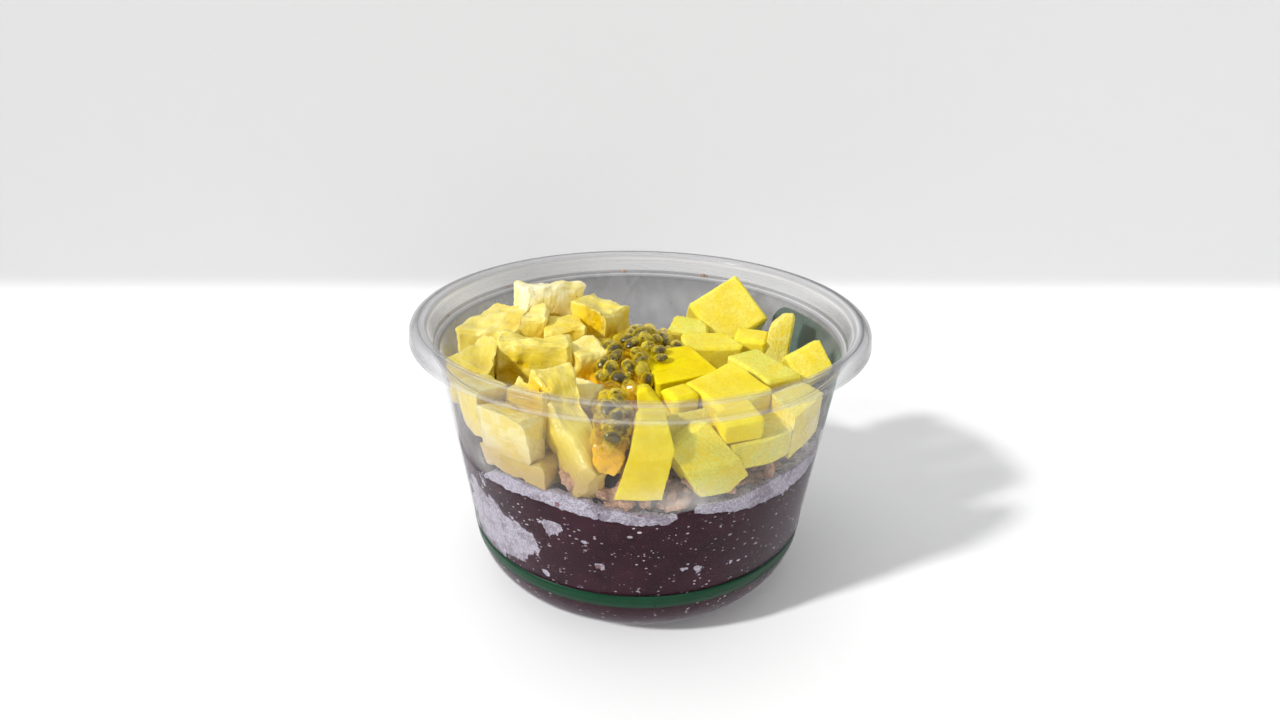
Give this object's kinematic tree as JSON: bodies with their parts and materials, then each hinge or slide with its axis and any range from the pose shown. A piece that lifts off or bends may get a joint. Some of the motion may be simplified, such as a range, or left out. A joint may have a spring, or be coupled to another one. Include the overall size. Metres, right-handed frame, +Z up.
{
  "type": "acai bowl",
  "caption": "Acai bowl in a clear round tub: frozen dark berry blend topped with granola, passion fruit pulp, and chunks of mango and pineapple.",
  "frame": {"origin": "centre of the tub's flat base, on the surface that it stands on", "axes": "+Z up, out of the tub's mouth; +X to the mango side; -Y towards the side with the pulp against the wall"},
  "size_m": [0.118, 0.118, 0.073],
  "materials": {
    "clear_tub": "clear thin plastic with a smooth gloss",
    "berry_blend": "frozen dark plum blend with pale flecks",
    "granola": "dry toasted crumbs",
    "passion_pulp": "wet orange pulp round dark seeds",
    "mango": "moist cut fruit",
    "pineapple": "moist fibrous cut fruit"
  },
  "bodies": {
    "root": {"tub": "clear_tub", "berry_blend": "berry_blend", "granola": "granola", "passion_pulp": "passion_pulp", "mango_square": "mango", "mango_wedge": "mango", "mango_peak": "mango", "mango_flat": "mango", "mango_bright": "mango", "mango_front": "mango", "mango_side": "mango", "mango_bar": "mango", "mango_back": "mango", "mango_tip": "mango", "mango_bit": "mango", "mango_slope": "mango", "mango_block": "mango", "mango_low": "mango", "mango_wall": "mango", "mango_shelf": "mango", "mango_sliver": "mango", "pineapple_top": "pineapple", "pineapple_slab": "pineapple", "pineapple_centre": "pineapple", "pineapple_left": "pineapple", "pineapple_pulp": "pineapple", "pineapple_side": "pineapple", "pineapple_inner": "pineapple", "pineapple_small": "pineapple", "pineapple_under": "pineapple", "pineapple_flake": "pineapple", "pineapple_round": "pineapple", "pineapple_low": "pineapple", "pineapple_tan": "pineapple", "pineapple_deep": "pineapple"}
  },
  "joints": []
}
